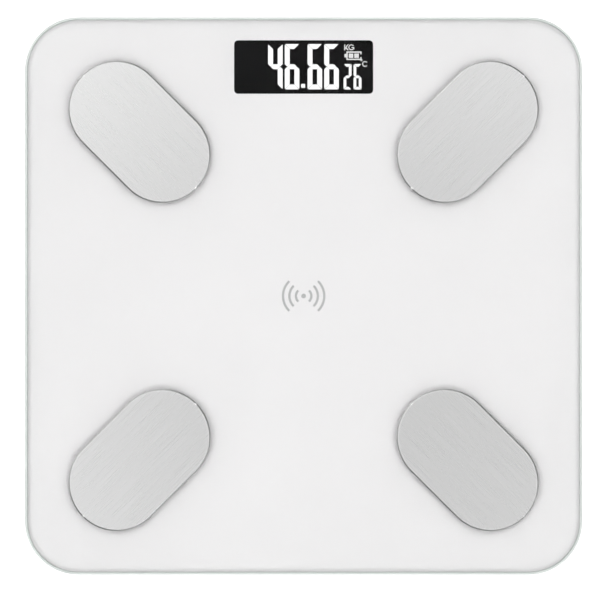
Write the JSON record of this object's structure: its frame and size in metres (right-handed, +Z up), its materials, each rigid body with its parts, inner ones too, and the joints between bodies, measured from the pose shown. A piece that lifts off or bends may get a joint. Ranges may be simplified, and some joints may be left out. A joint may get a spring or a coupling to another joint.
{
  "type": "digital bathroom scale",
  "caption": "Square white glass bathroom scale with steel foot electrodes, a lit display behind a dark window, rubber feet and a battery door underneath.",
  "frame": {"origin": "on the standing surface under the middle of the platform", "axes": "+Z up; +Y toward the display, away from the user; +X to the user's right"},
  "size_m": [0.26, 0.26, 0.0253],
  "materials": {
    "platform_glass": "polished toughened glass",
    "white_print": "white ink fired on the back of the glass",
    "grey_ink": "grey ink",
    "smoked_filter": "smoked film",
    "clear_adhesive": "clear acrylic adhesive",
    "stainless_sheet": "satin stainless steel",
    "stamped_steel": "stamped spring steel",
    "plated_steel": "zinc plated steel",
    "foam_tape": "black foam tape",
    "white_abs": "moulded white ABS, fine texture",
    "retainer_plastic": "moulded ABS",
    "foot_plastic": "moulded ABS",
    "foot_rubber": "moulded grey rubber",
    "gauge_sealant": "white silicone sealant",
    "board_laminate": "green glass-fibre laminate",
    "module_laminate": "blue glass-fibre laminate",
    "chip_epoxy": "black epoxy",
    "component_body": "mixed small components",
    "connector_nylon": "natural nylon",
    "black_display_plastic": "black moulded plastic",
    "lit_white": "lit white diffuser",
    "lit_grey": "dimly lit diffuser",
    "tinned_pins": "tinned copper",
    "nickel_contacts": "nickel plated spring steel",
    "grey_button_plastic": "moulded grey plastic",
    "battery_sleeve": null,
    "red_wire_sleeve": "wire sleeve",
    "light_wire_sleeve": "wire sleeve",
    "dark_wire_sleeve": "wire sleeve",
    "label_film": "blank silver label"
  },
  "bodies": {
    "scale": {"glass_platform": "platform_glass", "back_print": "white_print", "wireless_icon": "grey_ink", "display_filter": "smoked_filter", "electrode_adhesive": "clear_adhesive", "contact_studs": "plated_steel", "contact_nuts": "plated_steel", "contact_terminals": "plated_steel", "rim_tape": "foam_tape", "prop_tape": "foam_tape", "bottom_housing": "white_abs", "strain_gauges": "gauge_sealant", "retainer_screws": "plated_steel", "main_board": "board_laminate", "controller_chip": "chip_epoxy", "amplifier_chip": "chip_epoxy", "wireless_module": "module_laminate", "small_components": "component_body", "wire_connectors": "connector_nylon", "display_frame": "black_display_plastic", "large_digits": "lit_white", "small_digits": "lit_white", "display_symbols": "lit_grey", "display_seal": "foam_tape", "display_pins": "tinned_pins", "board_screws": "plated_steel", "tactile_switch": "chip_epoxy", "battery_springs": "nickel_contacts", "battery_plates": "nickel_contacts", "battery_wires": "red_wire_sleeve", "sensor_wires": "light_wire_sleeve", "electrode_wires": "dark_wire_sleeve", "rating_label": "label_film", "front_left_electrode": "stainless_sheet", "front_left_load_cell": "stamped_steel", "front_left_retainer": "retainer_plastic", "front_right_electrode": "stainless_sheet", "front_right_load_cell": "stamped_steel", "front_right_retainer": "retainer_plastic", "rear_left_electrode": "stainless_sheet", "rear_left_load_cell": "stamped_steel", "rear_left_retainer": "retainer_plastic", "rear_right_electrode": "stainless_sheet", "rear_right_load_cell": "stamped_steel", "rear_right_retainer": "retainer_plastic", "battery_1": "battery_sleeve", "battery_2": "battery_sleeve", "battery_3": "battery_sleeve"},
    "front_left_foot": {"front_left_foot_cap": "foot_plastic", "front_left_foot_pad": "foot_rubber"},
    "front_right_foot": {"front_right_foot_cap": "foot_plastic", "front_right_foot_pad": "foot_rubber"},
    "rear_left_foot": {"rear_left_foot_cap": "foot_plastic", "rear_left_foot_pad": "foot_rubber"},
    "rear_right_foot": {"rear_right_foot_cap": "foot_plastic", "rear_right_foot_pad": "foot_rubber"},
    "button": {"unit_button": "grey_button_plastic", "switch_plunger": "chip_epoxy"},
    "door": {"battery_door": "white_abs"}
  },
  "joints": [
    {"name": "front_left_foot_press", "type": "slide", "parent": "scale", "child": "front_left_foot", "axis": [0, 0, 1], "range_m": [0, 0.0005], "stiffness_N_per_m": 1400, "springref_m": -0.003, "deforming": ["front_left_load_cell"]},
    {"name": "front_right_foot_press", "type": "slide", "parent": "scale", "child": "front_right_foot", "axis": [0, 0, 1], "range_m": [0, 0.0005], "stiffness_N_per_m": 1400, "springref_m": -0.003, "deforming": ["front_right_load_cell"]},
    {"name": "rear_left_foot_press", "type": "slide", "parent": "scale", "child": "rear_left_foot", "axis": [0, 0, 1], "range_m": [0, 0.0005], "stiffness_N_per_m": 1400, "springref_m": -0.003, "deforming": ["rear_left_load_cell"]},
    {"name": "rear_right_foot_press", "type": "slide", "parent": "scale", "child": "rear_right_foot", "axis": [0, 0, 1], "range_m": [0, 0.0005], "stiffness_N_per_m": 1400, "springref_m": -0.003, "deforming": ["rear_right_load_cell"]},
    {"name": "unit_button_press", "type": "slide", "parent": "scale", "child": "button", "axis": [0, 0, 1], "range_m": [0, 0.0005], "stiffness_N_per_m": 3000, "springref_m": -0.0002},
    {"name": "battery_door_swing", "type": "hinge", "parent": "scale", "child": "door", "pos_m": [0, 0.0224, 0.004], "axis": [-1, 0, 0], "range_deg": [0, 75]}
  ]
}
